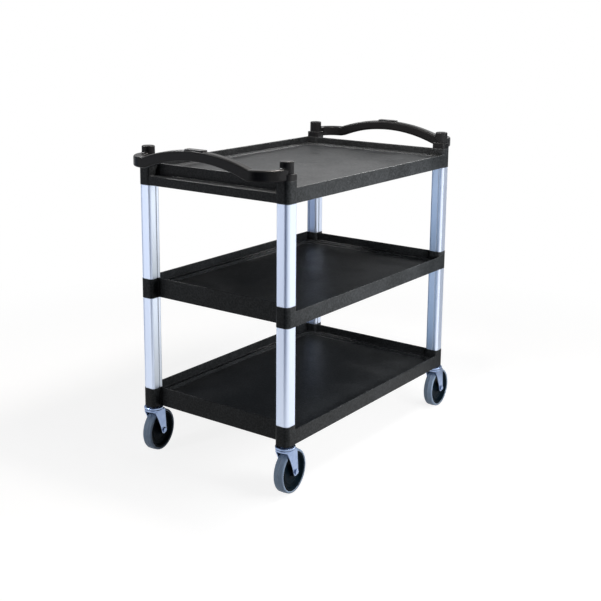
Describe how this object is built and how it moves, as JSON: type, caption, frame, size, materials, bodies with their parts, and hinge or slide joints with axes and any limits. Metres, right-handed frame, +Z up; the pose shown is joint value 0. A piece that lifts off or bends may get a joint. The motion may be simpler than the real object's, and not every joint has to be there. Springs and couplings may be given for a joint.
{
  "type": "utility cart",
  "caption": "Rolling utility cart: black moulded tray shelves with a low front on aluminium corner posts, an arched push handle at each end and swivel casters.",
  "frame": {"origin": "on the floor, under the middle of the cart", "axes": "+X along the cart's length towards the right handle, -Y out of its low open front, +Z up"},
  "size_m": [1.014, 0.5556, 0.952],
  "materials": {
    "moulded_black_plastic": "moulded black polypropylene with a fine pebble grain",
    "handle_black_plastic": "moulded black plastic, slightly smoother than the shelves",
    "plate_black_plastic": "bare satin black plate",
    "anodised_aluminium": "satin anodised extrusion with fine lengthwise lines",
    "zinc_plated_steel": "bright zinc plating with a cool cast",
    "bearing_steel": "polished hardened steel",
    "hub_black_plastic": "smooth moulded black plastic",
    "grey_rubber": "matt non-marking grey rubber"
  },
  "bodies": {
    "cart": {"top_shelf": "moulded_black_plastic", "middle_shelf": "moulded_black_plastic", "bottom_shelf": "moulded_black_plastic", "lower_post_front_left": "anodised_aluminium", "upper_post_front_left": "anodised_aluminium", "lower_post_front_right": "anodised_aluminium", "upper_post_front_right": "anodised_aluminium", "lower_post_rear_left": "anodised_aluminium", "upper_post_rear_left": "anodised_aluminium", "lower_post_rear_right": "anodised_aluminium", "upper_post_rear_right": "anodised_aluminium", "handle_left": "handle_black_plastic", "handle_right": "handle_black_plastic", "handle_plate_left": "plate_black_plastic", "handle_plate_right": "plate_black_plastic", "handle_screws": "zinc_plated_steel", "caster_inserts": "zinc_plated_steel", "caster_stem_front_left": "zinc_plated_steel", "caster_stem_front_right": "zinc_plated_steel", "caster_stem_rear_left": "zinc_plated_steel", "caster_stem_rear_right": "zinc_plated_steel"},
    "swivel_front_left": {"caster_fork_front_left": "zinc_plated_steel", "swivel_balls_front_left": "bearing_steel", "axle_bolt_front_left": "zinc_plated_steel", "axle_nut_front_left": "zinc_plated_steel", "axle_bush_front_left": "bearing_steel"},
    "wheel_front_left": {"wheel_hub_front_left": "hub_black_plastic", "tyre_front_left": "grey_rubber"},
    "swivel_front_right": {"caster_fork_front_right": "zinc_plated_steel", "swivel_balls_front_right": "bearing_steel", "axle_bolt_front_right": "zinc_plated_steel", "axle_nut_front_right": "zinc_plated_steel", "axle_bush_front_right": "bearing_steel"},
    "wheel_front_right": {"wheel_hub_front_right": "hub_black_plastic", "tyre_front_right": "grey_rubber"},
    "swivel_rear_left": {"caster_fork_rear_left": "zinc_plated_steel", "swivel_balls_rear_left": "bearing_steel", "axle_bolt_rear_left": "zinc_plated_steel", "axle_nut_rear_left": "zinc_plated_steel", "axle_bush_rear_left": "bearing_steel"},
    "wheel_rear_left": {"wheel_hub_rear_left": "hub_black_plastic", "tyre_rear_left": "grey_rubber"},
    "swivel_rear_right": {"caster_fork_rear_right": "zinc_plated_steel", "swivel_balls_rear_right": "bearing_steel", "axle_bolt_rear_right": "zinc_plated_steel", "axle_nut_rear_right": "zinc_plated_steel", "axle_bush_rear_right": "bearing_steel"},
    "wheel_rear_right": {"wheel_hub_rear_right": "hub_black_plastic", "tyre_rear_right": "grey_rubber"}
  },
  "joints": [
    {"name": "swivel_turn_front_left", "type": "hinge", "parent": "cart", "child": "swivel_front_left", "pos_m": [-0.4175, -0.248, 0.1388], "axis": [0, 0, 1], "continuous": true},
    {"name": "wheel_spin_front_left", "type": "hinge", "parent": "swivel_front_left", "child": "wheel_front_left", "pos_m": [-0.39357, -0.24612, 0.0635], "axis": [-0.0785, 0.9969, 0], "continuous": true},
    {"name": "swivel_turn_front_right", "type": "hinge", "parent": "cart", "child": "swivel_front_right", "pos_m": [0.4175, -0.248, 0.1388], "axis": [0, 0, 1], "continuous": true},
    {"name": "wheel_spin_front_right", "type": "hinge", "parent": "swivel_front_right", "child": "wheel_front_right", "pos_m": [0.44148, -0.24695, 0.0635], "axis": [-0.0436, 0.999, 0], "continuous": true},
    {"name": "swivel_turn_rear_left", "type": "hinge", "parent": "cart", "child": "swivel_rear_left", "pos_m": [-0.4175, 0.248, 0.1388], "axis": [0, 0, 1], "continuous": true},
    {"name": "wheel_spin_rear_left", "type": "hinge", "parent": "swivel_rear_left", "child": "wheel_rear_left", "pos_m": [-0.39376, 0.25155, 0.0635], "axis": [-0.1478, 0.989, 0], "continuous": true},
    {"name": "swivel_turn_rear_right", "type": "hinge", "parent": "cart", "child": "swivel_rear_right", "pos_m": [0.4175, 0.248, 0.1388], "axis": [0, 0, 1], "continuous": true},
    {"name": "wheel_spin_rear_right", "type": "hinge", "parent": "swivel_rear_right", "child": "wheel_rear_right", "pos_m": [0.44141, 0.25009, 0.0635], "axis": [-0.0872, 0.9962, 0], "continuous": true}
  ]
}
